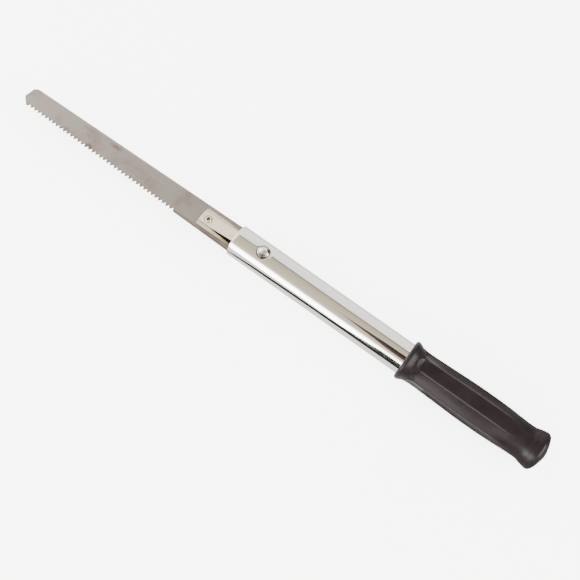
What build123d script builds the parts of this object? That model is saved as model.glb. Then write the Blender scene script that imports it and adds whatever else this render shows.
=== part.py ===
"""Hand saw with a detachable flat blade, held in a tube handle by a snap button on a leaf spring.

Lying flat: +X runs from the blade's toe to the butt of the grip, the teeth face -Y and the button
faces +Z. The origin is under the middle of the saw's length, at the level of the lowest point.
"""
import math
import os

from build123d import *

# overall layout along X
blade_exposed = 200.0
tube_exposed = 152.0
grip_length = 118.5

# blade
blade_thickness = 1.0
toe_width = 16.0
toe_upper_chamfer = (2.9, 1.9)
toe_lower_chamfer = (5.4, 5.2)
toe_slant = 1.6
tooth_count = 39
tooth_pitch = 3.56
tooth_depth = 2.6
tooth_tip_share = 0.4
first_tooth = 8.4
tang_length = 62.0
tang_chamfer = 4.0

# tube
tube_diameter = 25.0
tube_wall = 1.2
tube_neck_diameter = 19.0
tube_neck_start = 2.0
tube_neck_cone = 7.0
tube_end_gap = 9.0
mouth_edge = 0.3

# saddle plate and leaf spring
plate_exposed = 32.0
plate_width = 15.4
plate_thickness = 0.8
plate_tail = 50.0
plate_corner = 1.2
leaf_width = 9.3
leaf_thickness = 0.8
leaf_rise_deg = 10.5
crease_to_mouth = 21.5
leaf_flat = 14.0

# snap button
button_behind_mouth = 24.0
button_diameter = 10.0
button_stand_out = 2.3
button_rim = 0.5
button_clearance = 0.4
button_shank_diameter = 5.0
button_tail_diameter = 7.0
button_tail_height = 1.0
washer_diameter = 8.4
washer_thickness = 0.5

# rivets
eyelet_to_mouth = 25.8
eyelet_hole_diameter = 2.8
eyelet_barrel_diameter = 3.8
eyelet_flange_diameter = 5.2
eyelet_flange_height = 0.5
eyelet_floor = 0.9
eyelet_washer_diameter = 6.6
eyelet_washer_thickness = 0.5
tang_rivet_behind_mouth = 40.0
tang_rivet_diameter = 3.0
tang_rivet_head_diameter = 5.6
tang_rivet_head_height = 1.0

# grip: wall of the lip over the tube, then the diameter at each station behind the front face
lip_wall = 3.5
neck_diameter = 27.0
belly_diameter = 29.4
rear_neck_diameter = 26.7
flare_diameter = 30.8
butt_flat_diameter = 9.0
neck_at = 14.5
belly_at = 57.0
rear_neck_at = 100.0
flare_at = 112.3
flute_count = 8
flute_turn = 25.5  # degrees from straight up towards the teeth, to a ridge
flute_radius = 15.0
flute_depth = 1.35
flute_start = 8.5
flute_end = 97.0

# fits
tang_clearance = 0.12

# derived values
overall_length = blade_exposed + tube_exposed + grip_length
toe_x = -overall_length / 2
mouth_x = toe_x + blade_exposed
lip_x = mouth_x + tube_exposed
butt_x = lip_x + grip_length
lip_diameter = tube_diameter + 2 * lip_wall
axis_z = lip_diameter / 2
bore_radius = tube_diameter / 2 - tube_wall
neck_radius = tube_neck_diameter / 2
blade_bottom = axis_z - blade_thickness / 2
blade_top = axis_z + blade_thickness / 2
tang_half = math.sqrt((bore_radius - tang_clearance) ** 2 - (blade_thickness / 2) ** 2)
plate_top = blade_top + plate_thickness
foot_top = plate_top + leaf_thickness
eyelet_x = mouth_x - eyelet_to_mouth
tang_rivet_x = mouth_x + tang_rivet_behind_mouth
crease_x = mouth_x - crease_to_mouth
button_x = mouth_x + button_behind_mouth
flat_start = button_x - leaf_flat / 2
flat_end = button_x + leaf_flat / 2
leaf_rise = (flat_start - crease_x) * math.tan(math.radians(leaf_rise_deg))
arm_bottom = plate_top + leaf_rise
arm_top = arm_bottom + leaf_thickness
leaf_lap = leaf_thickness * math.tan(math.radians(leaf_rise_deg / 2))
tube_top = axis_z + tube_diameter / 2
button_top = tube_top + button_stand_out
hole_radius = button_diameter / 2 + button_clearance
washer_bottom = arm_bottom - washer_thickness
tail_bottom = washer_bottom - button_tail_height


def blade_edge(x):
    """Half the blade's width at x, which grows evenly from the toe to the mouth."""
    share = min(1.0, (x - toe_x) / blade_exposed)
    return toe_width / 2 + (tang_half - toe_width / 2) * share


# blade outline, from the toe along the back, round the tang and home along the teeth
tang_end = mouth_x + tang_length
outline = [
    (toe_x, toe_lower_chamfer[1] - blade_edge(toe_x)),
    (toe_x + toe_slant, blade_edge(toe_x) - toe_upper_chamfer[1]),
    (toe_x + toe_slant + toe_upper_chamfer[0], blade_edge(toe_x + toe_slant + toe_upper_chamfer[0])),
    (mouth_x, tang_half),
    (tang_end - tang_chamfer, tang_half),
    (tang_end, tang_half - tang_chamfer),
    (tang_end, tang_chamfer - tang_half),
    (tang_end - tang_chamfer, -tang_half),
    (mouth_x, -tang_half),
]
last_gullet = toe_x + first_tooth + tooth_count * tooth_pitch
outline.append((last_gullet + 1.5 * tooth_pitch, -blade_edge(last_gullet + 1.5 * tooth_pitch)))
for tooth in reversed(range(tooth_count)):
    gullet_x = toe_x + first_tooth + (tooth + 1) * tooth_pitch
    tip_x = gullet_x - tooth_pitch * (1 - tooth_tip_share)
    outline.append((gullet_x, tooth_depth - blade_edge(gullet_x)))
    outline.append((tip_x, -blade_edge(tip_x)))
outline.append((toe_x + first_tooth, tooth_depth - blade_edge(toe_x + first_tooth)))
outline.append((toe_x + toe_lower_chamfer[0], -blade_edge(toe_x + toe_lower_chamfer[0])))

with BuildPart() as saw_blade:
    with BuildSketch(Plane.XY.offset(blade_bottom)):
        with BuildLine():
            Polyline(*outline, close=True)
        make_face()
        with Locations((eyelet_x, 0)):
            Circle(eyelet_barrel_diameter / 2, mode=Mode.SUBTRACT)
        with Locations((tang_rivet_x, 0)):
            Circle(tang_rivet_diameter / 2, mode=Mode.SUBTRACT)
    extrude(amount=blade_thickness)

# saddle plate: lies on the blade and runs back into the tube
plate_start = mouth_x - plate_exposed
with BuildPart() as saddle_plate:
    with BuildSketch(Plane.XY.offset(blade_top)) as plate_face:
        with BuildLine():
            Polyline(
                (plate_start, plate_corner - plate_width / 2),
                (plate_start, plate_width / 2 - plate_corner),
                (plate_start + plate_corner, plate_width / 2),
                (mouth_x + plate_tail, plate_width / 2),
                (mouth_x + plate_tail, -plate_width / 2),
                (plate_start + plate_corner, -plate_width / 2),
                close=True,
            )
        make_face()
        with Locations((eyelet_x, 0)):
            Circle(eyelet_barrel_diameter / 2, mode=Mode.SUBTRACT)
        with Locations((tang_rivet_x, 0)):
            Circle(tang_rivet_diameter / 2, mode=Mode.SUBTRACT)
    extrude(amount=plate_thickness)

# leaf spring: one strip, flat under the eyelet, rising from its crease to a flat seat for the button
with BuildPart() as latch_leaf:
    with BuildSketch(Plane.XZ.offset(-leaf_width / 2)):
        with BuildLine():
            Polyline(
                (plate_start, plate_top),
                (crease_x + leaf_lap, plate_top),
                (flat_start + leaf_lap, arm_bottom),
                (flat_end, arm_bottom),
                (flat_end, arm_top),
                (flat_start, arm_top),
                (crease_x, foot_top),
                (plate_start, foot_top),
                close=True,
            )
        make_face()
    extrude(amount=leaf_width)
    with BuildSketch(Plane.XY.offset(plate_top)):
        with Locations((eyelet_x, 0)):
            Circle(eyelet_barrel_diameter / 2)
    extrude(amount=leaf_thickness, mode=Mode.SUBTRACT)
    with BuildSketch(Plane.XY.offset(arm_bottom)):
        with Locations((button_x, 0)):
            Circle(button_shank_diameter / 2)
    extrude(amount=leaf_thickness, mode=Mode.SUBTRACT)
    fillet(latch_leaf.edges().filter_by(Axis.Z).group_by(Axis.X)[-1], radius=2.5)

# washer under the leaf, clamped by the button's peened tail
with BuildPart() as button_washer:
    with BuildSketch(Plane.XY.offset(washer_bottom)):
        with Locations((button_x, 0)):
            Circle(washer_diameter / 2)
            Circle(button_shank_diameter / 2, mode=Mode.SUBTRACT)
    extrude(amount=washer_thickness)

# snap button: domed head on a shank, peened under the washer
head_radius = button_diameter / 2
rim_z = tube_top + button_rim
dome_height = button_top - rim_z
dome_radius = (head_radius**2 + dome_height**2) / (2 * dome_height)
dome_centre = button_top - dome_radius
with BuildPart() as latch_button:
    with BuildSketch(Plane.XZ):
        with BuildLine():
            Line((button_x, button_top), (button_x, tail_bottom))
            Line((button_x, tail_bottom), (button_x + button_tail_diameter / 2 - 0.6, tail_bottom))
            Line(
                (button_x + button_tail_diameter / 2 - 0.6, tail_bottom),
                (button_x + button_tail_diameter / 2, tail_bottom + 0.6),
            )
            Line(
                (button_x + button_tail_diameter / 2, tail_bottom + 0.6),
                (button_x + button_tail_diameter / 2, washer_bottom),
            )
            Line(
                (button_x + button_tail_diameter / 2, washer_bottom),
                (button_x + button_shank_diameter / 2, washer_bottom),
            )
            Line(
                (button_x + button_shank_diameter / 2, washer_bottom),
                (button_x + button_shank_diameter / 2, arm_top),
            )
            Line((button_x + button_shank_diameter / 2, arm_top), (button_x + head_radius, arm_top))
            Line((button_x + head_radius, arm_top), (button_x + head_radius, rim_z))
            ThreePointArc(
                (button_x + head_radius, rim_z),
                (button_x + head_radius / 2, dome_centre + math.sqrt(dome_radius**2 - head_radius**2 / 4)),
                (button_x, button_top),
            )
        make_face()
    revolve(axis=Axis((button_x, 0, 0), (0, 0, 1)))

# semi-tubular eyelet through leaf, plate and blade: open end curled over the leaf, closed end on a washer
washer_low = blade_bottom - eyelet_washer_thickness
with BuildPart() as eyelet_washer:
    with BuildSketch(Plane.XY.offset(washer_low)):
        with Locations((eyelet_x, 0)):
            Circle(eyelet_washer_diameter / 2)
            Circle(eyelet_barrel_diameter / 2, mode=Mode.SUBTRACT)
    extrude(amount=eyelet_washer_thickness)

with BuildPart() as eyelet_rivet:
    with BuildSketch(Plane.XY.offset(washer_low - eyelet_flange_height)):
        with Locations((eyelet_x, 0)):
            Circle(eyelet_flange_diameter / 2)
    extrude(amount=eyelet_flange_height)
    with BuildSketch(Plane.XY.offset(washer_low)):
        with Locations((eyelet_x, 0)):
            Circle(eyelet_barrel_diameter / 2)
    extrude(amount=foot_top - washer_low)
    with BuildSketch(Plane.XY.offset(foot_top)):
        with Locations((eyelet_x, 0)):
            Circle(eyelet_flange_diameter / 2)
    extrude(amount=eyelet_flange_height)
    with BuildSketch(Plane.XY.offset(washer_low - eyelet_flange_height + eyelet_floor)):
        with Locations((eyelet_x, 0)):
            Circle(eyelet_hole_diameter / 2)
    extrude(amount=foot_top - washer_low + 2 * eyelet_flange_height - eyelet_floor, mode=Mode.SUBTRACT)
    fillet(eyelet_rivet.edges().filter_by(GeomType.CIRCLE).group_by(Axis.Z)[-1], radius=0.2)

# solid rivet that holds plate and blade together inside the tube
with BuildPart() as tang_rivet:
    with BuildSketch(Plane.XY.offset(blade_bottom - tang_rivet_head_height)):
        with Locations((tang_rivet_x, 0)):
            Circle(tang_rivet_head_diameter / 2)
    extrude(amount=tang_rivet_head_height)
    with BuildSketch(Plane.XY.offset(blade_bottom)):
        with Locations((tang_rivet_x, 0)):
            Circle(tang_rivet_diameter / 2)
    extrude(amount=blade_thickness + plate_thickness)
    with BuildSketch(Plane.XY.offset(plate_top)):
        with Locations((tang_rivet_x, 0)):
            Circle(tang_rivet_head_diameter / 2)
    extrude(amount=tang_rivet_head_height)
    fillet(tang_rivet.edges().filter_by(GeomType.CIRCLE).group_by(Axis.Z)[-1], radius=0.6)
    fillet(tang_rivet.edges().filter_by(GeomType.CIRCLE).group_by(Axis.Z)[0], radius=0.6)

# tube: full size to just inside the grip's lip, then swaged down to run on inside the grip
cone_start = lip_x + tube_neck_start
cone_end = cone_start + tube_neck_cone
tube_end = butt_x - tube_end_gap
with BuildPart() as handle_tube:
    with BuildSketch(Plane.XZ):
        with BuildLine():
            Polyline(
                (mouth_x, axis_z + bore_radius + mouth_edge),
                (mouth_x, axis_z + tube_diameter / 2 - mouth_edge),
                (mouth_x + mouth_edge, tube_top),
                (cone_start, tube_top),
                (cone_end, axis_z + neck_radius),
                (tube_end, axis_z + neck_radius),
                (tube_end, axis_z + neck_radius - tube_wall),
                (cone_end, axis_z + neck_radius - tube_wall),
                (cone_start, axis_z + bore_radius),
                (mouth_x + mouth_edge, axis_z + bore_radius),
                close=True,
            )
        make_face()
    revolve(axis=Axis((0, 0, axis_z), (1, 0, 0)))
    with BuildSketch(Plane.XY.offset(axis_z)):
        with Locations((button_x, 0)):
            Circle(hole_radius)
    extrude(amount=tube_diameter, mode=Mode.SUBTRACT)

# grip: turned profile, fitted over the tube, with shallow hollow panels between ridges
profile = [
    (lip_x + 3.5, lip_diameter / 2 - 0.6),
    (lip_x + 8.0, (lip_diameter + neck_diameter) / 4 - 0.7),
    (lip_x + neck_at, neck_diameter / 2),
    (lip_x + belly_at, belly_diameter / 2),
    (lip_x + rear_neck_at, rear_neck_diameter / 2),
    (lip_x + flare_at - 4.5, flare_diameter / 2 - 0.7),
    (lip_x + flare_at, flare_diameter / 2),
]
with BuildPart() as grip:
    with BuildSketch(Plane.XZ):
        with BuildLine():
            Line((lip_x, axis_z + tube_diameter / 2), (lip_x, axis_z + lip_diameter / 2 - 1.4))
            ThreePointArc(
                (lip_x, axis_z + lip_diameter / 2 - 1.4),
                (lip_x + 0.6, axis_z + lip_diameter / 2 - 0.4),
                (lip_x + 1.8, axis_z + lip_diameter / 2),
            )
            Spline(
                (lip_x + 1.8, axis_z + lip_diameter / 2),
                *[(x, axis_z + r) for x, r in profile],
                tangents=[(1, -0.1), (1, 0)],
            )
            ThreePointArc(
                (lip_x + flare_at, axis_z + flare_diameter / 2),
                (lip_x + flare_at + 2.6, axis_z + flare_diameter / 2 - 1.6),
                (butt_x - 2.2, axis_z + flare_diameter / 2 - 5.2),
            )
            ThreePointArc(
                (butt_x - 2.2, axis_z + flare_diameter / 2 - 5.2),
                (butt_x - 0.7, axis_z + butt_flat_diameter / 2 + 2.8),
                (butt_x, axis_z + butt_flat_diameter / 2),
            )
            Polyline(
                (butt_x, axis_z + butt_flat_diameter / 2),
                (butt_x, axis_z),
                (tube_end, axis_z),
                (tube_end, axis_z + neck_radius),
                (cone_end, axis_z + neck_radius),
                (cone_start, axis_z + tube_diameter / 2),
                (lip_x, axis_z + tube_diameter / 2),
            )
        make_face()
    revolve(axis=Axis((0, 0, axis_z), (1, 0, 0)))
    flute_middle = lip_x + (flute_start + flute_end) / 2
    flute_axis = belly_diameter / 2 - flute_depth + flute_radius
    with BuildSketch(Plane.XZ):
        with BuildLine():
            Line(
                (lip_x + flute_start - 6, axis_z + flute_axis),
                (lip_x + flute_end + 6, axis_z + flute_axis),
            )
            ThreePointArc(
                (lip_x + flute_end + 6, axis_z + flute_axis),
                (lip_x + flute_end + 1.5, axis_z + flute_axis - flute_radius * 0.62),
                (lip_x + flute_end - 8, axis_z + flute_axis - flute_radius + 0.7),
            )
            ThreePointArc(
                (lip_x + flute_end - 8, axis_z + flute_axis - flute_radius + 0.7),
                (flute_middle, axis_z + flute_axis - flute_radius),
                (lip_x + flute_start + 8, axis_z + flute_axis - flute_radius - 0.45),
            )
            ThreePointArc(
                (lip_x + flute_start + 8, axis_z + flute_axis - flute_radius - 0.45),
                (lip_x + flute_start - 1.5, axis_z + flute_axis - flute_radius * 0.62),
                (lip_x + flute_start - 6, axis_z + flute_axis),
            )
        make_face()
    flute = revolve(axis=Axis((0, 0, axis_z + flute_axis), (1, 0, 0)), mode=Mode.PRIVATE)
    for turn in range(flute_count):
        angle = flute_turn + (turn + 0.5) * 360 / flute_count
        add(flute.rotate(Axis((0, 0, axis_z), (1, 0, 0)), angle), mode=Mode.SUBTRACT)

os.makedirs("parts", exist_ok=True)
saw_blade.part.label = "saw_blade"
export_step(saw_blade.part, "parts/saw_blade.step")
saddle_plate.part.label = "saddle_plate"
export_step(saddle_plate.part, "parts/saddle_plate.step")
latch_leaf.part.label = "latch_leaf"
export_step(latch_leaf.part, "parts/latch_leaf.step")
latch_button.part.label = "latch_button"
export_step(latch_button.part, "parts/latch_button.step")
button_washer.part.label = "button_washer"
export_step(button_washer.part, "parts/button_washer.step")
eyelet_rivet.part.label = "eyelet_rivet"
export_step(eyelet_rivet.part, "parts/eyelet_rivet.step")
eyelet_washer.part.label = "eyelet_washer"
export_step(eyelet_washer.part, "parts/eyelet_washer.step")
tang_rivet.part.label = "tang_rivet"
export_step(tang_rivet.part, "parts/tang_rivet.step")
handle_tube.part.label = "handle_tube"
export_step(handle_tube.part, "parts/handle_tube.step")
grip.part.label = "grip"
export_step(grip.part, "parts/grip.step")
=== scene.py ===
import math

import bmesh
import bpy
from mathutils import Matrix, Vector


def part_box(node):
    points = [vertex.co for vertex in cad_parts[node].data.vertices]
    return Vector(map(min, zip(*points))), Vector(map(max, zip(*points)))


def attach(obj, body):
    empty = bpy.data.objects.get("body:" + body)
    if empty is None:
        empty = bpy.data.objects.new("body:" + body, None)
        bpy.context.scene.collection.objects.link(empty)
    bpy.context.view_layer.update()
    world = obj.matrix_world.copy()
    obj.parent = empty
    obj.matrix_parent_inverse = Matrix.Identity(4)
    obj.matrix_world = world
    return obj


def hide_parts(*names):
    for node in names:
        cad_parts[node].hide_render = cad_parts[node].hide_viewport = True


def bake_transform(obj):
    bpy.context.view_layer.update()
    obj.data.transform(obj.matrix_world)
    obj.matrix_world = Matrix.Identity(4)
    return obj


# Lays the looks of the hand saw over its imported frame: toothed blade, saddle plate, leaf spring,
# eyelet, snap button, bright tube and ribbed grip. Sizes are in millimetres and go through mm().

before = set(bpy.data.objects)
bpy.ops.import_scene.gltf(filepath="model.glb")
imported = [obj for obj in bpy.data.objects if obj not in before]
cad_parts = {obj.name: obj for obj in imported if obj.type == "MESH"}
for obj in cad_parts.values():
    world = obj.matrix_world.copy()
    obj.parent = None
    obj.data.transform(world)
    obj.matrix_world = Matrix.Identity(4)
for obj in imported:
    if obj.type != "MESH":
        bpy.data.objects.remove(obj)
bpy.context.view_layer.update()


def mm(size):
    return size / 1000


def deselectEverything():
    for thing in list(bpy.context.selected_objects):
        thing.select_set(False)
    bpy.context.view_layer.objects.active = None


def pickPiece(piece):
    deselectEverything()
    piece.select_set(True)
    bpy.context.view_layer.objects.active = piece


def startPiece(name):
    # names the fresh primitive and puts its place into its mesh
    piece = bpy.context.active_object
    piece.name = name
    piece.data.name = name
    bpy.ops.object.transform_apply(location=True, rotation=True, scale=True)
    return piece


def block(name, low, high):
    deselectEverything()
    middle = [(a + b) / 2 for a, b in zip(low, high)]
    bpy.ops.mesh.primitive_cube_add(size=1, location=middle, scale=[b - a for a, b in zip(low, high)])
    return startPiece(name)


def applyModifier(piece, kind, **settings):
    modifier = piece.modifiers.new(kind.lower(), kind)
    for key, value in settings.items():
        setattr(modifier, key, value)
    pickPiece(piece)
    bpy.ops.object.modifier_apply(modifier=modifier.name)


def cutWith(piece, cutter):
    applyModifier(piece, "BOOLEAN", object=cutter, operation="DIFFERENCE", solver="EXACT")
    bpy.data.objects.remove(cutter)


def drillHole(piece, x, radius, low, high):
    deselectEverything()
    bpy.ops.mesh.primitive_cylinder_add(vertices=64, radius=radius, depth=high - low,
                                        location=(x, 0, (low + high) / 2))
    cutWith(piece, startPiece("drill"))


def softenEdges(piece, width, segments=2, angle=35):
    applyModifier(piece, "BEVEL", width=width, segments=segments, limit_method="ANGLE",
                  angle_limit=math.radians(angle), use_clamp_overlap=True)


def smoothByAngle(piece, degrees):
    pickPiece(piece)
    bpy.ops.object.shade_smooth_by_angle(angle=math.radians(degrees))


def selectVerts(piece, wanted):
    # in edit mode, picks the points whose place passes the test
    mesh = bmesh.from_edit_mesh(piece.data)
    bpy.ops.mesh.select_mode(type="VERT")
    for vert in mesh.verts:
        vert.select = wanted(vert.co)
    mesh.select_flush_mode()
    bmesh.update_edit_mesh(piece.data)


def trimAway(point, normal):
    # in edit mode, cuts off what lies on the side the normal points to, and closes the cut
    bpy.ops.mesh.select_all(action="SELECT")
    bpy.ops.mesh.bisect(plane_co=point, plane_no=normal, use_fill=True, clear_outer=True, threshold=1e-8)


def turnPiece(name, outline, axis, centre, segments, closed=False):
    # a point drawn out along half a section, then spun about the axis. outline is (along, radius)
    deselectEverything()

    def place(along, radius):
        if axis == "X":
            return Vector((along, 0, centre[2] + radius))
        return Vector((centre[0] + radius, 0, along))

    bpy.ops.mesh.primitive_plane_add(size=mm(0.1), location=place(*outline[0]))
    piece = startPiece(name)
    bpy.ops.object.mode_set(mode="EDIT")
    bpy.ops.mesh.select_all(action="SELECT")
    bpy.ops.mesh.merge(type="CENTER")
    here = place(*outline[0])
    for along, radius in outline[1:]:
        there = place(along, radius)
        bpy.ops.mesh.extrude_vertices_move(TRANSFORM_OT_translate={"value": there - here})
        here = there
    if closed:
        first = place(*outline[0])
        selectVerts(piece, lambda co: (co - first).length < 1e-7 or (co - here).length < 1e-7)
        bpy.ops.mesh.edge_face_add()
    bpy.ops.mesh.select_all(action="SELECT")
    about = (1, 0, 0) if axis == "X" else (0, 0, 1)
    bpy.ops.mesh.spin(steps=segments, angle=math.tau, center=(centre[0], 0, centre[2]), axis=about)
    bpy.ops.mesh.select_all(action="SELECT")
    bpy.ops.mesh.remove_doubles(threshold=1e-6)
    bpy.ops.mesh.normals_make_consistent(inside=False)
    bpy.ops.object.mode_set(mode="OBJECT")
    return piece


def arcPoints(centre, radius, start, end, steps):
    # points on an arc, angles in degrees from the along axis
    turns = [math.radians(start + (end - start) * step / steps) for step in range(steps + 1)]
    return [(centre[0] + radius * math.cos(turn), centre[1] + radius * math.sin(turn)) for turn in turns]


def smoothLine(knots, steps):
    # a Catmull-Rom line through knots, for soft moulded outlines
    points = []
    for number in range(len(knots) - 1):
        a = knots[max(number - 1, 0)]
        b, c = knots[number], knots[number + 1]
        d = knots[min(number + 2, len(knots) - 1)]
        for step in range(steps):
            t = step / steps
            points.append(tuple(
                0.5 * (2 * q + (r - p) * t + (2 * p - 5 * q + 4 * r - s) * t * t
                       + (3 * q - p - 3 * r + s) * t ** 3)
                for p, q, r, s in zip(a, b, c, d)))
    return points + [knots[-1]]


def finishPiece(piece, material, body, node):
    piece.data.materials.clear()
    piece.data.materials.append(material)
    if body:   # none is given for a piece that bends between two bodies
        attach(piece, body)
    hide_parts(node)


# places taken from the frame
bladeLow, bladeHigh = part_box("saw_blade")
tubeLow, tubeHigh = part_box("handle_tube")
gripLow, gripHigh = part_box("grip")
plateLow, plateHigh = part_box("saddle_plate")
leafLow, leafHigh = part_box("latch_leaf")
buttonLow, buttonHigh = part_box("latch_button")
eyeletLow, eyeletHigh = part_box("eyelet_rivet")
eyeWasherLow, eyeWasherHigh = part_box("eyelet_washer")
tangRivetLow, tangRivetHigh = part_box("tang_rivet")
washerLow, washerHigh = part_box("button_washer")
mouthX = tubeLow[0]
lipX = gripLow[0]
buttX = gripHigh[0]
axisZ = (tubeLow[2] + tubeHigh[2]) / 2
buttonX = (buttonLow[0] + buttonHigh[0]) / 2
eyeletX = (eyeletLow[0] + eyeletHigh[0]) / 2
tangRivetX = (tangRivetLow[0] + tangRivetHigh[0]) / 2


# what materials are made with

def hexColour(code):
    # sRGB hex to linear
    channels = [int(code[i:i + 2], 16) / 255 for i in (1, 3, 5)]
    return [c / 12.92 if c <= 0.04045 else ((c + 0.055) / 1.055) ** 2.4 for c in channels] + [1]


def addNode(tree, kind, inputs=None, stops=(), **settings):
    # an input takes a fixed value or another node's socket, stops are a ramp's (place, hex colour)
    node = tree.nodes.new("ShaderNode" + kind)
    for name, value in settings.items():
        setattr(node, name, value)
    for key, value in (inputs or {}).items():
        if isinstance(value, bpy.types.NodeSocket):
            tree.links.new(value, node.inputs[key])
        else:
            node.inputs[key].default_value = value
    for number, (place, shade) in enumerate(stops):
        element = node.color_ramp.elements[number] if number < 2 else node.color_ramp.elements.new(place)
        element.position = place
        element.color = hexColour(shade)
    return node


def newMaterial(name, **shader):
    # a principled material, its fixed values set on the shader, with the Object coordinates
    material = bpy.data.materials.new(name)
    material.use_nodes = True
    tree = material.node_tree
    principled = tree.nodes["Principled BSDF"]
    for key, value in shader.items():
        principled.inputs[key.replace("_", " ")].default_value = value
    at = addNode(tree, "TexCoord").outputs["Object"]
    return material, tree, principled, at


def joinLook(tree, principled, colour, roughness, height, depth):
    # colour, roughness and relief go to the shader, depth is how far the relief stands out
    bump = addNode(tree, "Bump", {"Height": height, "Distance": depth})
    tree.links.new(colour, principled.inputs["Base Color"])
    tree.links.new(roughness, principled.inputs["Roughness"])
    tree.links.new(bump.outputs[0], principled.inputs["Normal"])


# blade
blade = {"toeWidth": 16.0, "toeUpper": (2.9, 1.9), "toeLower": (5.4, 5.2), "toeSlant": 1.6,
         "tangChamfer": 4.0, "edge": 0.04,
         "teeth": 39, "pitch": 3.56, "depth": 2.6, "tipShare": 0.4, "firstTooth": 8.4,
         "gulletRound": 0.1, "set": 0.22, "bentTip": 0.35,
         # along from the toe, across, length, width, strength
         "smudges": [(43, -6.0, 5.0, 3.5, 0.45), (65.5, -6.8, 4.2, 3.4, 0.95), (83, 5.6, 8.0, 3.0, 0.6),
                     (8, 1.5, 5.0, 3.5, 0.12), (57, 4.8, 9.0, 1.6, 0.3), (118, -1.0, 1.2, 6.5, 0.35)]}
clearance = mm(1)   # cutters stand out past what they cut by this, or about as much


def bladeEdge(x):
    # half the blade's width, growing evenly from the toe to the mouth
    share = min(1, (x - bladeLow[0]) / (mouthX - bladeLow[0]))
    return mm(blade["toeWidth"] / 2) + (bladeHigh[1] - mm(blade["toeWidth"] / 2)) * share


def makeBladeSteel():
    # spring steel strip, cold rolled and hardened: an even satin grey that hides what it mirrors,
    # with faint cloudy patches, lengthwise rolling lines and a few brown smudges from cutting
    material, tree, principled, at = newMaterial("rolledSpringSteel", Metallic=1.0)
    # rolling lines are 0.05 mm apart on the real strip, drawn 0.5 mm apart so that they show
    along = addNode(tree, "Mapping", {"Vector": at, "Scale": (45, 2000, 400)}).outputs[0]
    grain = addNode(tree, "TexNoise", {"Vector": along, "Scale": 1, "Detail": 3}).outputs[0]
    # patches 10 to 20 mm long, specks 1 mm
    cloud = addNode(tree, "TexNoise", {"Vector": at, "Scale": 75, "Detail": 3, "Roughness": 0.5}).outputs[0]
    speck = addNode(tree, "TexNoise", {"Vector": at, "Scale": 800, "Detail": 3, "Roughness": 0.65}).outputs[0]
    colour = addNode(tree, "ValToRGB", {"Fac": cloud},
                     [(0.34, "#7f746f"), (0.5, "#8b807a"), (0.66, "#88837b")]).outputs[0]
    share = addNode(tree, "MapRange", {"Value": grain, "From Min": 0.4, "From Max": 0.75,
                                       "To Min": 0, "To Max": 0.22}).outputs[0]
    colour = addNode(tree, "Mix", {0: share, 6: colour, 7: hexColour("#a39c95")}, data_type="RGBA").outputs[2]
    share = addNode(tree, "MapRange", {"Value": speck, "From Min": 0.6, "From Max": 0.78,
                                       "To Min": 0, "To Max": 0.35}).outputs[0]
    colour = addNode(tree, "Mix", {0: share, 6: colour, 7: hexColour("#756a64")}, data_type="RGBA").outputs[2]
    # painted shade and cutting oil darken the toothed edge, which leans out as the blade widens
    toeHalf = mm(blade["toeWidth"] / 2)
    slope = (bladeHigh[1] - toeHalf) / (mouthX - bladeLow[0])
    root = bladeLow[0] * slope - toeHalf
    parts = addNode(tree, "SeparateXYZ", {0: at}).outputs
    lean = addNode(tree, "Math", {0: parts[0], 1: slope, 2: parts[1]}, operation="MULTIPLY_ADD").outputs[0]
    share = addNode(tree, "MapRange", {"Value": lean, "From Min": root + mm(0.2), "From Max": root + mm(2.6),
                                       "To Min": 0.6, "To Max": 0}).outputs[0]
    colour = addNode(tree, "Mix", {0: share, 6: colour, 7: hexColour("#54483f")}, data_type="RGBA").outputs[2]
    for dx, dy, sizeX, sizeY, strength in blade["smudges"]:
        scale = [1 / mm(size) for size in (sizeX, sizeY, 12)]
        place = (bladeLow[0] + mm(dx), mm(dy), axisZ)
        shift = [-p * s for p, s in zip(place, scale)]
        spot = addNode(tree, "Mapping", {"Vector": at, "Scale": scale, "Location": shift}).outputs[0]
        oval = addNode(tree, "TexGradient", {"Vector": spot}, gradient_type="SPHERICAL").outputs[1]
        broken = addNode(tree, "Math", {0: oval, 1: speck}, operation="MULTIPLY").outputs[0]
        share = addNode(tree, "MapRange", {"Value": broken, "From Min": 0.04, "From Max": 0.4,
                                           "To Min": 0, "To Max": strength}).outputs[0]
        colour = addNode(tree, "Mix", {0: share, 6: colour, 7: hexColour("#5c4a44")},
                         data_type="RGBA").outputs[2]
    roughness = addNode(tree, "MapRange", {"Value": cloud, "From Min": 0.3, "From Max": 0.7,
                                           "To Min": 0.36, "To Max": 0.46}).outputs[0]
    joinLook(tree, principled, colour, roughness, grain, mm(0.006))
    return material


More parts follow.
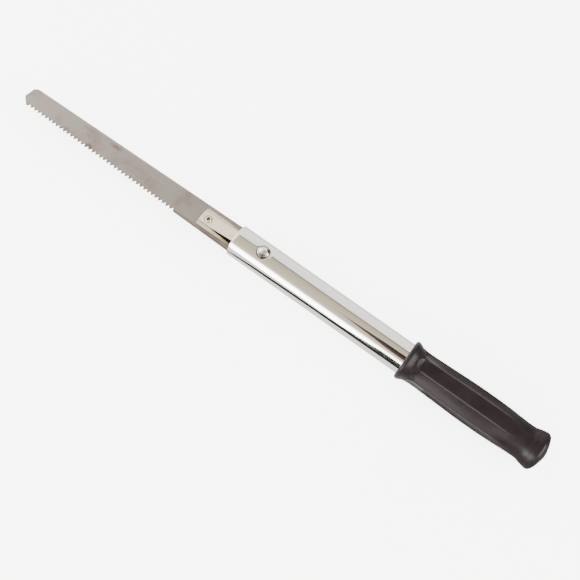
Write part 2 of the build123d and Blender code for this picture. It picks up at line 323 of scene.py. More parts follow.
def makeBlade():
    toe, tang = bladeLow[0], bladeHigh[0]
    half = bladeHigh[1]
    low, high = bladeLow[2] - clearance, bladeHigh[2] + clearance
    piece = block("sawBlade", bladeLow, bladeHigh)
    bpy.ops.object.mode_set(mode="EDIT")
    slope = (half - bladeEdge(toe)) / (mouthX - toe)
    for side in (1, -1):   # the taper along both edges, and the corners of the tang
        trimAway((toe, side * bladeEdge(toe), axisZ), (-slope, side, 0))
        trimAway((tang, side * (half - mm(blade["tangChamfer"])), axisZ), (1, side, 0))
    upperX, upperY = (mm(size) for size in blade["toeUpper"])
    lowerX, lowerY = (mm(size) for size in blade["toeLower"])
    slant = mm(blade["toeSlant"])
    topY = bladeEdge(toe) - upperY
    bottomY = lowerY - bladeEdge(toe)
    trimAway((toe, bottomY, axisZ), (-(topY - bottomY), slant, 0))
    trimAway((toe + slant, topY, axisZ), (-upperY, upperX, 0))
    trimAway((toe, bottomY, axisZ), (-lowerY, -lowerX, 0))
    bpy.ops.object.mode_set(mode="OBJECT")

    # one gullet, repeated down the edge
    pitch, depth = mm(blade["pitch"]), mm(blade["depth"])
    gulletX = toe + mm(blade["firstTooth"])
    gulletY = depth - bladeEdge(gulletX)
    back, front = pitch * (1 - blade["tipShare"]), pitch * blade["tipShare"]
    cutter = block("gullet", (gulletX - 2 * back, gulletY - 2 * depth, low),
                   (gulletX + 2 * front, gulletY + clearance / 2, high))
    bpy.ops.object.mode_set(mode="EDIT")
    trimAway((gulletX, gulletY, axisZ), (-depth, back, 0))
    trimAway((gulletX, gulletY, axisZ), (depth, front, 0))
    bpy.ops.object.mode_set(mode="OBJECT")
    applyModifier(cutter, "BEVEL", width=mm(blade["gulletRound"]), segments=2, limit_method="ANGLE",
                  angle_limit=math.radians(80))
    applyModifier(cutter, "ARRAY", count=blade["teeth"] + 1, use_relative_offset=False,
                  use_constant_offset=True, constant_offset_displace=(pitch, -slope * pitch, 0))
    cutWith(piece, cutter)
    drillHole(piece, eyeletX, mm(eyelet["barrel"]), low, high)
    drillHole(piece, tangRivetX, mm(tangRivet["shank"]), low, high)

    # teeth bent to alternate sides from a line at their roots
    pickPiece(piece)
    bpy.ops.object.mode_set(mode="EDIT")
    bpy.ops.mesh.select_all(action="SELECT")
    rootLine = depth * 0.98 - bladeEdge(toe)
    bpy.ops.mesh.bisect(plane_co=(toe, rootLine, axisZ), plane_no=(slope, 1, 0), threshold=1e-8)
    for side in (1, -1):
        def onTooth(co, side=side):
            number = round((co.x - gulletX - front) / pitch)
            tip = gulletX + front + number * pitch
            near = co.y < -bladeEdge(co.x) + mm(blade["bentTip"]) and abs(co.x - tip) < mm(0.5)
            return near and 0 <= number < blade["teeth"] and (-1) ** number == side
        selectVerts(piece, onTooth)
        bpy.ops.transform.translate(value=(0, 0, side * mm(blade["set"])))
    bpy.ops.mesh.select_all(action="DESELECT")
    bpy.ops.object.mode_set(mode="OBJECT")
    softenEdges(piece, mm(blade["edge"]), segments=1, angle=50)
    finishPiece(piece, bladeSteel, "blade_unit", "saw_blade")


# saddle plate and leaf spring
plate = {"corner": 1.2, "edge": 0.14}
leaf = {"width": 9.3, "thickness": 0.8, "creaseToMouth": 21.5, "flat": 14.0, "bend": 1.1, "foot": 3.0,
        "corner": 2.4, "footCorner": 1.0, "edge": 0.13}


def makeNickelPlate(name, shades):
    # spring steel, nickel plated: a warm cream mirror, a little hazy from rubbing under the tube
    material, tree, principled, at = newMaterial(name, Metallic=1.0)
    # rubbing lines 0.3 mm apart along the blade, haze patches 6 mm
    along = addNode(tree, "Mapping", {"Vector": at, "Scale": (150, 3300, 3300)}).outputs[0]
    rub = addNode(tree, "TexNoise", {"Vector": along, "Scale": 1, "Detail": 2}).outputs[0]
    haze = addNode(tree, "TexNoise", {"Vector": at, "Scale": 160, "Detail": 2}).outputs[0]
    colour = addNode(tree, "ValToRGB", {"Fac": haze},
                     [(0.35, shades[0]), (0.55, shades[1]), (0.75, shades[2])]).outputs[0]
    # only the top was polished: cut edges, bores and undersides are dull, and painted shade darkens every
    # face that turns away from up
    facing = addNode(tree, "TexCoord").outputs["Normal"]
    upwards = addNode(tree, "SeparateXYZ", {0: facing}).outputs[2]
    under = addNode(tree, "MapRange", {"Value": upwards, "From Min": 0.85, "From Max": 0.5,
                                       "To Min": 0, "To Max": 0.93}).outputs[0]
    colour = addNode(tree, "Mix", {0: under, 6: colour, 7: hexColour("#2b2621")}, data_type="RGBA").outputs[2]
    # a painted contact shadow rings the eyelet's curled rim
    near = addNode(tree, "Mapping", {"Vector": at, "Location": (-eyeletX, 0, 0),
                                     "Scale": (1, 1, 0)}).outputs[0]
    away = addNode(tree, "VectorMath", {0: near}, operation="LENGTH").outputs["Value"]
    out = addNode(tree, "MapRange", {"Value": away, "From Min": mm(eyelet["flange"] - 0.2),
                                     "From Max": mm(eyelet["flange"] + 0.8)}).outputs[0]
    ring = addNode(tree, "ValToRGB", {"Fac": out},
                   [(0, "#000000"), (0.25, "#f4f4f4"), (0.6, "#d8d8d8"), (1, "#000000")]).outputs[0]
    colour = addNode(tree, "Mix", {0: ring, 6: colour, 7: hexColour("#3a332c")}, data_type="RGBA").outputs[2]
    shine = addNode(tree, "MapRange", {"Value": rub, "From Min": 0.35, "From Max": 0.75,
                                       "To Min": 0.06, "To Max": 0.13}).outputs[0]
    roughness = addNode(tree, "Math", {0: under, 1: 0.5, 2: shine}, operation="MULTIPLY_ADD").outputs[0]
    joinLook(tree, principled, colour, roughness, rub, mm(0.0008))
    return material


def makeSaddlePlate():
    low, high = plateLow[2] - clearance, plateHigh[2] + clearance
    piece = block("saddlePlate", plateLow, plateHigh)
    bpy.ops.object.mode_set(mode="EDIT")
    for side in (1, -1):
        corner = (plateLow[0] + mm(plate["corner"]), side * plateHigh[1], axisZ)
        trimAway(corner, (-1, side, 0))
    bpy.ops.object.mode_set(mode="OBJECT")
    drillHole(piece, eyeletX, mm(eyelet["barrel"]), low, high)
    drillHole(piece, tangRivetX, mm(tangRivet["shank"]), low, high)
    softenEdges(piece, mm(plate["edge"]), segments=3, angle=40)
    smoothByAngle(piece, 40)
    applyModifier(piece, "WEIGHTED_NORMAL", keep_sharp=True)   # keeps the broad faces flat mirrors
    finishPiece(piece, plateNickel, "blade_unit", "saddle_plate")


def makeLeaf():
    half, thick, foot = mm(leaf["width"] / 2), mm(leaf["thickness"]), mm(leaf["foot"])
    crease = mouthX - mm(leaf["creaseToMouth"])
    flatStart = leafHigh[0] - mm(leaf["flat"])
    rise = leafHigh[2] - leafLow[2] - thick
    run = flatStart - crease
    steep = rise / run
    # a short strip drawn out along its top face: foot, crease, ramp, upper bend, flat seat
    bend = mm(leaf["bend"])
    stations = [(leafLow[0] + foot, 0), (crease - bend, 0)]
    for step in range(1, 6):
        t = step / 6
        stations.append((crease - bend + 2 * bend * t, steep * bend * t * t))
    rampStart, rampEnd = crease + bend, flatStart - bend * 1.5
    for step in range(11):   # enough of them for the ramp to bend smoothly
        along = rampStart + (rampEnd - rampStart) * step / 10
        stations.append((along, steep * (along - crease)))
    for step in range(1, 7):
        t = step / 6
        stations.append((rampEnd + 3 * bend * t, rise - steep * bend * 1.5 * (1 - t) ** 2))
    stations.append((leafHigh[0], rise))
    top = leafLow[2] + thick
    deselectEverything()
    bpy.ops.mesh.primitive_plane_add(size=1, location=(leafLow[0] + foot / 2, 0, top))
    bpy.ops.transform.resize(value=(foot, 2 * half, 1))
    piece = startPiece("leafSpring")
    bpy.ops.object.mode_set(mode="EDIT")
    lastX, lastZ = stations[0]
    selectVerts(piece, lambda co: co.x > lastX - mm(0.1))
    for nextX, nextZ in stations[1:]:
        bpy.ops.mesh.extrude_edges_move(TRANSFORM_OT_translate={"value": (nextX - lastX, 0, nextZ - lastZ)})
        lastX, lastZ = nextX, nextZ
    bpy.ops.mesh.select_all(action="SELECT")
    bpy.ops.mesh.remove_doubles(threshold=1e-7)
    bpy.ops.mesh.normals_make_consistent(inside=False)
    selectVerts(piece, lambda co: co.x > leafHigh[0] - mm(0.1))
    bpy.ops.mesh.bevel(offset=mm(leaf["corner"]), segments=8, affect="VERTICES")
    selectVerts(piece, lambda co: co.x < leafLow[0] + mm(0.1))
    bpy.ops.mesh.bevel(offset=mm(leaf["footCorner"]), segments=3, affect="VERTICES")
    bpy.ops.object.mode_set(mode="OBJECT")
    if piece.data.polygons[0].normal.z < 0:   # an open strip can come out face down
        pickPiece(piece)
        bpy.ops.object.mode_set(mode="EDIT")
        bpy.ops.mesh.select_all(action="SELECT")
        bpy.ops.mesh.flip_normals()
        bpy.ops.object.mode_set(mode="OBJECT")
    applyModifier(piece, "SOLIDIFY", thickness=thick, offset=-1)
    drillHole(piece, eyeletX, mm(eyelet["barrel"]), leafLow[2] - clearance, leafLow[2] + 2 * clearance)
    drillHole(piece, buttonX, mm(button["shank"]), leafHigh[2] - 2 * clearance, leafHigh[2] + clearance)
    softenEdges(piece, mm(leaf["edge"]), segments=2, angle=40)
    smoothByAngle(piece, 40)
    applyModifier(piece, "WEIGHTED_NORMAL", keep_sharp=True)
    finishPiece(piece, leafNickel, None, "latch_leaf")
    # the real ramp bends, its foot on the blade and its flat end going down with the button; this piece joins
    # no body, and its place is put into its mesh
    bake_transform(piece)


# rivets, washers and snap button
eyelet = {"hole": 1.4, "barrel": 1.9, "flange": 2.6, "roll": 0.5, "floor": 0.9, "point": 2.0}
tangRivet = {"shank": 1.5, "crown": 1.0}
washer = {"edge": 0.12}
button = {"radius": 5.0, "rim": 0.5, "shoulder": 0.9, "shank": 2.5, "tail": 3.5, "tailEdge": 0.6}


def makeRivetSteel():
    # mild steel, headed cold: dull grey with fine forging marks, 0.7 mm across
    material, tree, principled, at = newMaterial("headedMildSteel", Metallic=1.0)
    mark = addNode(tree, "TexNoise", {"Vector": at, "Scale": 1400, "Detail": 4}).outputs[0]
    colour = addNode(tree, "ValToRGB", {"Fac": mark}, [(0.35, "#8f8b86"), (0.7, "#b9b5ae")]).outputs[0]
    roughness = addNode(tree, "MapRange", {"Value": mark, "From Min": 0.3, "From Max": 0.7,
                                           "To Min": 0.28, "To Max": 0.45}).outputs[0]
    joinLook(tree, principled, colour, roughness, mark, mm(0.01))
    return material


def makeEyelet():
    # a closed head below with a drilled-out barrel, and a curled rim above
    low, high = eyeletLow[2], eyeletHigh[2]
    hole, barrel, flange, roll = (mm(eyelet[key]) for key in ("hole", "barrel", "flange", "roll"))
    floor, point = mm(eyelet["floor"]), mm(eyelet["point"])
    outline = [(low, 0), (low, flange - roll * 0.6), (low + roll * 0.4, flange),
               (low + roll, flange - roll * 0.1), (low + roll, barrel),
               (high - roll, barrel), (high - roll, flange - roll * 0.1), (high - roll * 0.85, flange),
               (high - roll * 0.2, flange - roll * 0.62), (high, flange - roll * 0.95),
               (high, hole + roll * 0.3), (high - roll * 0.2, hole + roll * 0.05), (high - roll, hole),
               (low + floor + point, hole), (low + floor, 0)]
    piece = turnPiece("eyelet", outline, "Z", (eyeletX, 0, 0), 64)
    smoothByAngle(piece, 40)
    finishPiece(piece, leafNickel, "blade_unit", "eyelet_rivet")


def makeWasher(name, node, low, high, hole, material, body):
    radius = (high[0] - low[0]) / 2
    edge = mm(washer["edge"])
    outline = [(low[2], hole), (low[2], radius - edge), (low[2] + edge, radius), (high[2] - edge, radius),
               (high[2], radius - edge), (high[2], hole)]
    piece = turnPiece(name, outline, "Z", ((low[0] + high[0]) / 2, 0, 0), 48, closed=True)
    smoothByAngle(piece, 35)
    finishPiece(piece, material, body, node)


def makeTangRivet():
    low, high = tangRivetLow[2], tangRivetHigh[2]
    head, shank = (tangRivetHigh[0] - tangRivetLow[0]) / 2, mm(tangRivet["shank"])
    crown = mm(tangRivet["crown"])
    domed = [(high - crown + crown * math.sin(turn), head * math.cos(turn))
             for turn in [math.radians(step * 15) for step in range(7)]]
    outline = [(low, 0)] + [(low + high - z, r) for z, r in reversed(domed)][1:]
    outline += [(low + crown, shank), (high - crown, shank)] + domed[:-1] + [(high, 0)]
    piece = turnPiece("tangRivet", outline, "Z", (tangRivetX, 0, 0), 40)
    smoothByAngle(piece, 45)
    finishPiece(piece, rivetSteel, "blade_unit", "tang_rivet")


def makeButton():
    low, high = buttonLow[2], buttonHigh[2]
    radius, rim = mm(button["radius"]), tubeHigh[2] + mm(button["rim"])
    shank, tail, tailEdge = mm(button["shank"]), mm(button["tail"]), mm(button["tailEdge"])
    seat = leafHigh[2]
    shoulder = mm(button["shoulder"])
    crown = radius - shoulder   # where the shallow dome meets the rolled shoulder
    dome = high - rim - shoulder * 0.55
    ball = (crown ** 2 + dome ** 2) / (2 * dome)
    outline = [(low, 0), (low, tail - tailEdge), (low + mm(0.25), tail - mm(0.18)), (low + tailEdge, tail),
               (washerLow[2], tail), (washerLow[2], shank), (seat, shank), (seat, radius - mm(0.2)),
               (seat + mm(0.2), radius), (rim - shoulder * 0.3, radius),
               (rim + shoulder * 0.12, radius - shoulder * 0.1),
               (rim + shoulder * 0.38, radius - shoulder * 0.42)]
    for step in range(15):
        spread = crown * (1 - step / 14)
        outline.append((high - ball + math.sqrt(ball ** 2 - spread ** 2), spread))
    piece = turnPiece("snapButton", outline, "Z", (buttonX, 0, 0), 96)
    smoothByAngle(piece, 40)
    finishPiece(piece, buttonChrome, "button", "latch_button")


# tube
# the drill for the button's hole starts and ends at heights above the tube's axis
tube = {"wall": 1.2, "neck": 9.5, "neckStart": 2.0, "neckCone": 7.0, "endGap": 9.0, "hole": 5.4,
        "drillStart": 3.0, "drillEnd": 20.0, "edge": 0.3, "holeEdge": 0.12, "rings": 70}


def makeChrome(name, boreShare, steepShadeShare):
    # drawn steel tube, polished and chrome plated: a bright mirror whose drawing marks let the
    # lines it mirrors waver, with hair scratches and rare pits
    material, tree, principled, at = newMaterial(name, Metallic=1.0)
    # swells 20 to 50 mm long, hair lines 0.3 mm apart, pits 0.7 mm
    slow = addNode(tree, "Mapping", {"Vector": at, "Scale": (24, 40, 40)}).outputs[0]
    waver = addNode(tree, "TexNoise", {"Vector": slow, "Scale": 1, "Detail": 1}).outputs[0]
    along = addNode(tree, "Mapping", {"Vector": at, "Scale": (120, 3300, 3300)}).outputs[0]
    hair = addNode(tree, "TexNoise", {"Vector": along, "Scale": 1, "Detail": 2}).outputs[0]
    pit = addNode(tree, "TexNoise", {"Vector": at, "Scale": 1500, "Detail": 3, "Roughness": 0.7}).outputs[0]
    colour = addNode(tree, "ValToRGB", {"Fac": pit}, [(0.62, "#ece8e2"), (0.82, "#b9b1a7")]).outputs[0]
    # the bore and the cut through the wall are bare drawn steel, dull, and darkened below the outer skin with
    # painted shade
    parts = addNode(tree, "SeparateXYZ", {0: at}).outputs
    height = addNode(tree, "Math", {0: parts[2], 1: axisZ}, operation="SUBTRACT").outputs[0]
    ring = addNode(tree, "CombineXYZ", {0: parts[1], 1: height}).outputs[0]
    out = addNode(tree, "VectorMath", {0: ring}, operation="LENGTH").outputs["Value"]
    skin = tubeHigh[2] - axisZ
    inner = addNode(tree, "MapRange", {"Value": out, "From Min": skin - mm(0.3), "From Max": skin - mm(0.45),
                                       "To Min": 0, "To Max": boreShare}).outputs[0]
    colour = addNode(tree, "Mix", {0: inner, 6: colour, 7: hexColour("#38332e")}, data_type="RGBA").outputs[2]
    # painted shade darkens the steep side of the button
    facing = addNode(tree, "TexCoord").outputs["Normal"]
    upwards = addNode(tree, "SeparateXYZ", {0: facing}).outputs[2]
    steepPaintedShade = addNode(tree, "MapRange", {"Value": upwards, "From Min": 0.94, "From Max": 0.85,
                                       "To Min": 0, "To Max": steepShadeShare}).outputs[0]
    colour = addNode(tree, "Mix", {0: steepPaintedShade, 6: colour, 7: hexColour("#1d1714")}, data_type="RGBA").outputs[2]
    shine = addNode(tree, "MapRange", {"Value": hair, "From Min": 0.3, "From Max": 0.8,
                                       "To Min": 0.04, "To Max": 0.11}).outputs[0]
    roughness = addNode(tree, "Math", {0: inner, 1: 0.4, 2: shine}, operation="MULTIPLY_ADD").outputs[0]
    fine = addNode(tree, "Math", {0: hair, 1: 0.0002, 2: waver}, operation="MULTIPLY_ADD").outputs[0]
    joinLook(tree, principled, colour, roughness, fine, mm(0.35))
    return material


def makeTube():
    radius, wall, edge = tubeHigh[2] - axisZ, mm(tube["wall"]), mm(tube["edge"])
    neck, rings = mm(tube["neck"]), tube["rings"]
    coneStart = lipX + mm(tube["neckStart"])
    coneEnd = coneStart + mm(tube["neckCone"])
    end = buttX - mm(tube["endGap"])
    outline = [(mouthX + edge, radius - wall), (mouthX + edge * 0.3, radius - wall + edge * 0.3),
               (mouthX, radius - wall + edge), (mouthX, radius - edge),
               (mouthX + edge * 0.3, radius - edge * 0.3), (mouthX + edge, radius)]
    straight = coneStart - mouthX - edge
    outline += [(mouthX + edge + straight * ring / rings, radius) for ring in range(1, rings + 1)]
    outline += [(coneEnd, neck), (end, neck), (end, neck - wall), (coneEnd, neck - wall),
                (coneStart, radius - wall)]
    piece = turnPiece("handleTube", outline, "X", (0, 0, axisZ), 192, closed=True)
    drillHole(piece, buttonX, mm(tube["hole"]), axisZ + mm(tube["drillStart"]), axisZ + mm(tube["drillEnd"]))
    softenEdges(piece, mm(tube["holeEdge"]), segments=2, angle=55)
    smoothByAngle(piece, 40)
    finishPiece(piece, tubeChrome, "handle", "handle_tube")


# grip, with diameters at places behind its front face
grip = {"neck": 27.0, "belly": 29.4, "rearNeck": 26.7, "flare": 30.8,
        "neckAt": 14.5, "bellyAt": 57.0, "rearNeckAt": 100.0, "flareAt": 112.3, "lipRound": 2.1,
        "boreGap": 0.03, "innerBore": 9.53, "boreStart": 2.0, "coneEnd": 9.0,
        "panels": 8, "panelTurn": -25.5, "panelDepth": 1.7, "ridgeWidth": 0.7, "hollowRound": 0.35,
        "panelStart": 8.5, "panelEnd": 99.0, "frontRound": 4.5, "frontBlend": 3.2, "rearFade": 30}


def makeVinyl():
    # soft vinyl, dip moulded: near-black brown with a satin skin, finely pebbled, with a painted highlight
    # along the ridges
    material, tree, principled, at = newMaterial("dipMouldedVinyl", IOR=1.5, Specular_IOR_Level=0.2)
    # pebbles 0.8 mm, handling marks 10 to 15 mm, lengthwise scuffs 0.5 mm wide
    pebble = addNode(tree, "TexNoise", {"Vector": at, "Scale": 1300, "Detail": 2}).outputs[0]
    cloud = addNode(tree, "TexNoise", {"Vector": at, "Scale": 85, "Detail": 3}).outputs[0]
    along = addNode(tree, "Mapping", {"Vector": at, "Scale": (150, 2000, 2000)}).outputs[0]
    scuff = addNode(tree, "TexNoise", {"Vector": along, "Scale": 1, "Detail": 3}).outputs[0]
    colour = addNode(tree, "ValToRGB", {"Fac": cloud}, [(0.3, "#130c0e"), (0.7, "#191113")]).outputs[0]
    share = addNode(tree, "MapRange", {"Value": scuff, "From Min": 0.6, "From Max": 0.85,
                                       "To Min": 0, "To Max": 0.3}).outputs[0]
    colour = addNode(tree, "Mix", {0: share, 6: colour, 7: hexColour("#33292a")}, data_type="RGBA").outputs[2]
    # a painted highlight pales the ridges
    paintedRidgeHighlight = addNode(tree, "Attribute", attribute_name="ridge").outputs["Fac"]
    share = addNode(tree, "Math", {0: paintedRidgeHighlight, 1: 0.32}, operation="MULTIPLY").outputs[0]
    colour = addNode(tree, "Mix", {0: share, 6: colour, 7: hexColour("#5f5858")}, data_type="RGBA").outputs[2]
    roughness = addNode(tree, "MapRange", {"Value": cloud, "From Min": 0.3, "From Max": 0.7,
                                           "To Min": 0.3, "To Max": 0.4}).outputs[0]
    joinLook(tree, principled, colour, roughness, pebble, mm(0.02))
    return material


def sinkAt(x, fromMiddle, toRidge):
    # how far a point of the grip is pressed in, and how much it belongs to a ridge, both 0 to 1
    bow = math.sqrt(max(0, 1 - fromMiddle ** 2))
    hollow = bow * grip["hollowRound"] + (1 - fromMiddle ** 2) * (1 - grip["hollowRound"])
    hollow *= min(1, toRidge / grip["ridgeWidth"]) ** 0.5
    # the front end is round, the rear end fades out
    fromStart = (x - grip["panelStart"] - grip["frontRound"] * (1 - bow)) / grip["frontBlend"]
    fromEnd = (grip["panelEnd"] - x) / grip["rearFade"]
    start, end = (min(1, max(0, share)) for share in (fromStart, fromEnd))
    reach = start * start * (3 - 2 * start) * end * end * (3 - 2 * end)
    return hollow * reach, reach * max(0, 1 - toRidge / grip["ridgeWidth"])


def makeGrip():
    lip, bore = (gripHigh[2] - axisZ) * 1000, (tubeHigh[2] - axisZ) * 1000
    butt = (buttX - lipX) * 1000
    roll, gap = grip["lipRound"], grip["boreGap"]
    flare, flareAt, inner = grip["flare"] / 2, grip["flareAt"], grip["innerBore"]
    # a fat rolled lip, a waist, the belly, a second waist and the flared butt
    front = [(0.3, bore + gap), (0.0, bore + 0.35)] + arcPoints((roll, lip - roll), roll, 180, 90, 8)
    sides = smoothLine([(roll, lip), (3.2, lip - 0.22), (4.4, 15.22), (5.9, 14.45), (8.4, 13.85),
                        (grip["neckAt"], grip["neck"] / 2), (30.0, 13.95),
                        (grip["bellyAt"], grip["belly"] / 2), (80.0, 14.35),
                        (grip["rearNeckAt"], grip["rearNeck"] / 2), (106.5, 14.35), (110.0, 15.15),
                        (flareAt, flare)], 11)[1:]
    rear = smoothLine([(flareAt, flare), (114.0, flare - 0.55), (115.4, flare - 2.1), (116.6, flare - 4.8),
                       (117.5, flare - 7.6), (118.1, flare - 9.8), (butt, 4.5)], 5)[1:]
    inside = [(butt - 8.9, 0), (butt - 9.0, inner), (grip["coneEnd"], inner), (grip["boreStart"], bore + gap)]
    outline = [(lipX + mm(x), mm(r)) for x, r in inside + front + sides + rear] + [(buttX, mm(2)), (buttX, 0)]
    piece = turnPiece("ribbedGrip", outline, "X", (0, 0, axisZ), 240)
    # hollow panels between narrow ridges: how far each point sinks is a weight, then pressed in
    group = piece.vertex_groups.new(name="panels")
    crests = [0.0] * len(piece.data.vertices)
    halfPanel = 180 / grip["panels"]
    for vert in piece.data.vertices:
        x = (vert.co.x - lipX) * 1000
        radius = math.hypot(vert.co.y, vert.co.z - axisZ) * 1000
        if radius < bore + 0.1 or not grip["panelStart"] - 3 < x < grip["panelEnd"] + 3:
            continue
        turn = math.degrees(math.atan2(vert.co.y, vert.co.z - axisZ)) - grip["panelTurn"]
        fromMiddle = (turn % (2 * halfPanel) - halfPanel) / halfPanel   # -1 and 1 on the ridges
        toRidge = (1 - abs(fromMiddle)) * math.radians(halfPanel) * radius
        sink, crests[vert.index] = sinkAt(x, fromMiddle, toRidge)
        if sink > 0:
            group.add([vert.index], sink, "REPLACE")
    applyModifier(piece, "DISPLACE", direction="NORMAL", strength=-mm(grip["panelDepth"]), mid_level=0,
                  vertex_group="panels")
    ridge = piece.data.attributes.new("ridge", "FLOAT", "POINT")   # tells the vinyl where to paint the ridge highlight
    ridge.data.foreach_set("value", crests)
    smoothByAngle(piece, 50)
    finishPiece(piece, vinyl, "handle", "grip")


# floor, lights and camera: places in metres, lens and sensor in millimetres, turns in degrees
studio = {"floor": "#f7f6f4", "floorGlow": 5.0, "room": 2.2, "roomTint": "#fbf9f6", "sensor": 36.0,
          "lens": 57.93, "cameraAt": (0.10578, -0.23571, 0.65588), "cameraTurn": (20.1287, -5.5124, 35.3960),
          "tableLift": 0.0004, "edgeLift": 0.001, "tableReach": 1.3, "shadeStart": 0.14}
# along, then where the dark strip on the table starts and ends across: painted shade of the floor beside the
# tube, running out to the table's edge
edgeStations = [(-0.075, 0.02, 0.0235), (-0.041, 0.028, 0.036), (0.04, 0.048, 0.16), (0.08, 0.052, 0.8),
                (0.12, 0.06, 1.2), (0.4, 0.2, 1.2)]
# along, then how high the far face of that edge stands
farStations = [(-0.02, 0.01), (0.04, 0.16), (0.085, 0.46), (1.0, 0.5)]
plain = [(0, "#ffffff"), (1, "#ffffff")]


def makeFloor():
    deselectEverything()
    bpy.ops.mesh.primitive_plane_add(size=8, location=(0, 0, 0))
    floor = startPiece("floor")
    # a white sheet lit a little from below
    sheet = newMaterial("litWhiteSheet", Roughness=0.9, Base_Color=hexColour(studio["floor"]),
                        Emission_Color=hexColour(studio["floor"]), Emission_Strength=studio["floorGlow"])[0]
    floor.data.materials.append(sheet)


def around(degrees, distance, x):
    # a place at an angle from straight up, turning towards the teeth
    turn = math.radians(degrees)
    return (x, -math.sin(turn) * distance, axisZ + math.cos(turn) * distance)


def makeCard(name, corners, glow, shades=plain, mirrorOnly=False):
    # a glowing card between four corners, first side to second, shaded from one side to the other.
    # it lights the saw and shows in what mirrors it, and the camera looks through it
    deselectEverything()
    bpy.ops.mesh.primitive_plane_add(size=1, location=(0, 0, 0))
    card = startPiece(name)
    for vert, corner in zip(card.data.vertices, corners):
        vert.co = corner
    material = bpy.data.materials.new(name)
    material.use_nodes = True
    tree = material.node_tree
    tree.nodes.clear()
    across = addNode(tree, "TexCoord").outputs["UV"]
    share = addNode(tree, "SeparateXYZ", {0: across}).outputs[1]
    tint = addNode(tree, "ValToRGB", {"Fac": share}, shades).outputs[0]
    light = addNode(tree, "Emission", {"Color": tint, "Strength": glow}).outputs[0]
    addNode(tree, "OutputMaterial", {0: light})
    card.data.materials.append(material)
    card.visible_camera = False
    card.visible_shadow = False
    card.visible_diffuse = not mirrorOnly


def makeLights():
    # overhead panel, dimmer towards its far side, with a gap beyond it
    makeCard("overheadPanel", [around(-25, 1.8, -0.3), around(-25, 1.8, 0.9),
                               around(66, 1.8, -0.75), around(66, 1.8, 0.9)],
             2.6, [(0, "#9a917f"), (0.2, "#a09786"), (0.6, "#aea698"), (0.85, "#cbc4b8"), (1, "#e8e4dc")])
    makeCard("panelGap", [around(-31, 1.6, -0.33), around(-31, 1.6, 0.9),
                          around(-22, 1.6, -0.28), around(-22, 1.6, 0.9)], 0.35)
    makeCard("panelGapEnd", [around(-25, 1.7, -0.37), around(-25, 1.7, -0.3),
                             around(35, 1.4, -0.56), around(35, 1.4, -0.52)],
             0.9, [(0, "#8c8474"), (0.6, "#c8c0b0"), (1, "#ffffff")])
    # long softbox low on the toothed side, and one beyond each end
    makeCard("sideSoftbox", [around(89, 1.4, -1.6), around(89, 1.4, 0.3),
                             around(55, 1.4, -1.6), around(50, 1.4, 0.3)],
             14, [(0, "#ffffff"), (0.5, "#ffffff"), (1, "#7a766f")])
    for name, end, glow in (("toeSoftbox", -1, 6), ("buttSoftbox", 1, 10)):
        makeCard(name, [(end * 2.4, 1.2, 0.6), (end * 2.4, -1.2, 0.6),
                        (end * 1.6, 1.2, 2.0), (end * 1.6, -1.2, 2.0)], glow)


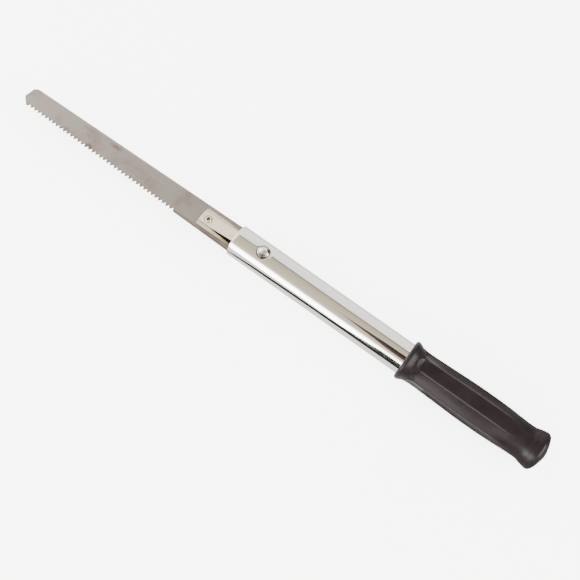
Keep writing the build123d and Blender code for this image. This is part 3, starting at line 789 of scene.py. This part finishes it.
def makeRoom():
    # what the bright metal mirrors besides: the table top, a dark stand and wall, a dark strip on the table
    # that stands in for the floor's shade beside the tube and runs out to the table's edge, and the dark ends
    # of the room
    lift, reach, shadeStart = studio["tableLift"], studio["tableReach"], studio["shadeStart"]
    for name, startX, endX, glow in (("tableTop", -2, shadeStart, 1.7), ("tableShade", shadeStart, 2, 0.5)):
        makeCard(name, [(startX, -reach, lift), (endX, -reach, lift), (startX, reach, lift),
                        (endX, reach, lift)], glow, mirrorOnly=True)
    makeCard("darkWall", [(0.17, 1.0, 0.0), (1.6, 1.0, 0.0), (0.2, 1.0, 1.2), (1.6, 1.0, 1.2)],
             0.35, mirrorOnly=True)
    makeCard("darkStand", [around(21, 1.0, -0.01), around(48, 1.0, 0.2),
                           around(20, 1.0, -0.01), around(0, 1.0, 0.2)],
             0.34, [(0, "#c0a6a6"), (0.4, "#7a5a60"), (0.75, "#3a2026"), (1, "#241216")], mirrorOnly=True)
    lift = studio["edgeLift"]
    # the dark strip: painted shade of the floor beside the tube, widening out to the table's edge
    for (startX, startNear, startFar), (endX, endNear, endFar) in zip(edgeStations, edgeStations[1:]):
        makeCard("tableEdge", [(startX, -startFar, lift), (endX, -endFar, lift),
                               (startX, -startNear, lift), (endX, -endNear, lift)], 0.02, mirrorOnly=True)
    for (startX, startTop), (endX, endTop) in zip(farStations, farStations[1:]):
        makeCard("tableEdgeFar", [(startX, -1.2, 0.0), (endX, -1.2, 0.0),
                                  (startX, -1.2, startTop), (endX, -1.2, endTop)], 0.02, mirrorOnly=True)
    for end in (-1, 1):
        makeCard("darkEnd", [(end * 1.3, 1.0, 0.0), (end * 1.3, -1.0, 0.0),
                             (end * 1.3, 1.0, 0.3), (end * 1.3, -1.0, 0.3)], 0.1, mirrorOnly=True)
    world = bpy.data.worlds.new("studioRoom")
    bpy.context.scene.world = world
    world.use_nodes = True
    background = world.node_tree.nodes["Background"]
    background.inputs["Color"].default_value = hexColour(studio["roomTint"])
    background.inputs["Strength"].default_value = studio["room"]


def makeCamera():
    deselectEverything()
    bpy.ops.object.camera_add(location=studio["cameraAt"],
                              rotation=[math.radians(turn) for turn in studio["cameraTurn"]])
    camera = bpy.context.active_object
    camera.data.sensor_width = studio["sensor"]
    camera.data.lens = studio["lens"]
    camera.data.clip_start = 0.01
    bpy.context.scene.camera = camera


# the saw is put together
bladeSteel = makeBladeSteel()
leafNickel = makeNickelPlate("nickelPlatedSpring", ("#e0d0b6", "#ecdfc8", "#e5d4b9"))
plateNickel = makeNickelPlate("nickelPlatedPlate", ("#c4b59d", "#d3c5ae", "#c9baa1"))
rivetSteel = makeRivetSteel()
tubeChrome = makeChrome("chromePlatedTube", 0.95, 0.0)
buttonChrome = makeChrome("chromePlatedButton", 0.0, 0.95)
vinyl = makeVinyl()
print("materials made")

makeBlade()
print("blade made")

makeSaddlePlate()
makeLeaf()
print("plate and leaf made")

makeEyelet()
makeWasher("eyeletWasher", "eyelet_washer", eyeWasherLow, eyeWasherHigh, mm(eyelet["barrel"]),
           plateNickel, "blade_unit")
makeWasher("buttonWasher", "button_washer", washerLow, washerHigh, mm(button["shank"]),
           rivetSteel, "button")
makeTangRivet()
makeButton()
print("rivets, washers and button made")

makeTube()
print("tube made")

makeGrip()
print("grip made")

makeFloor()
makeLights()
makeRoom()
makeCamera()
print("studio made")
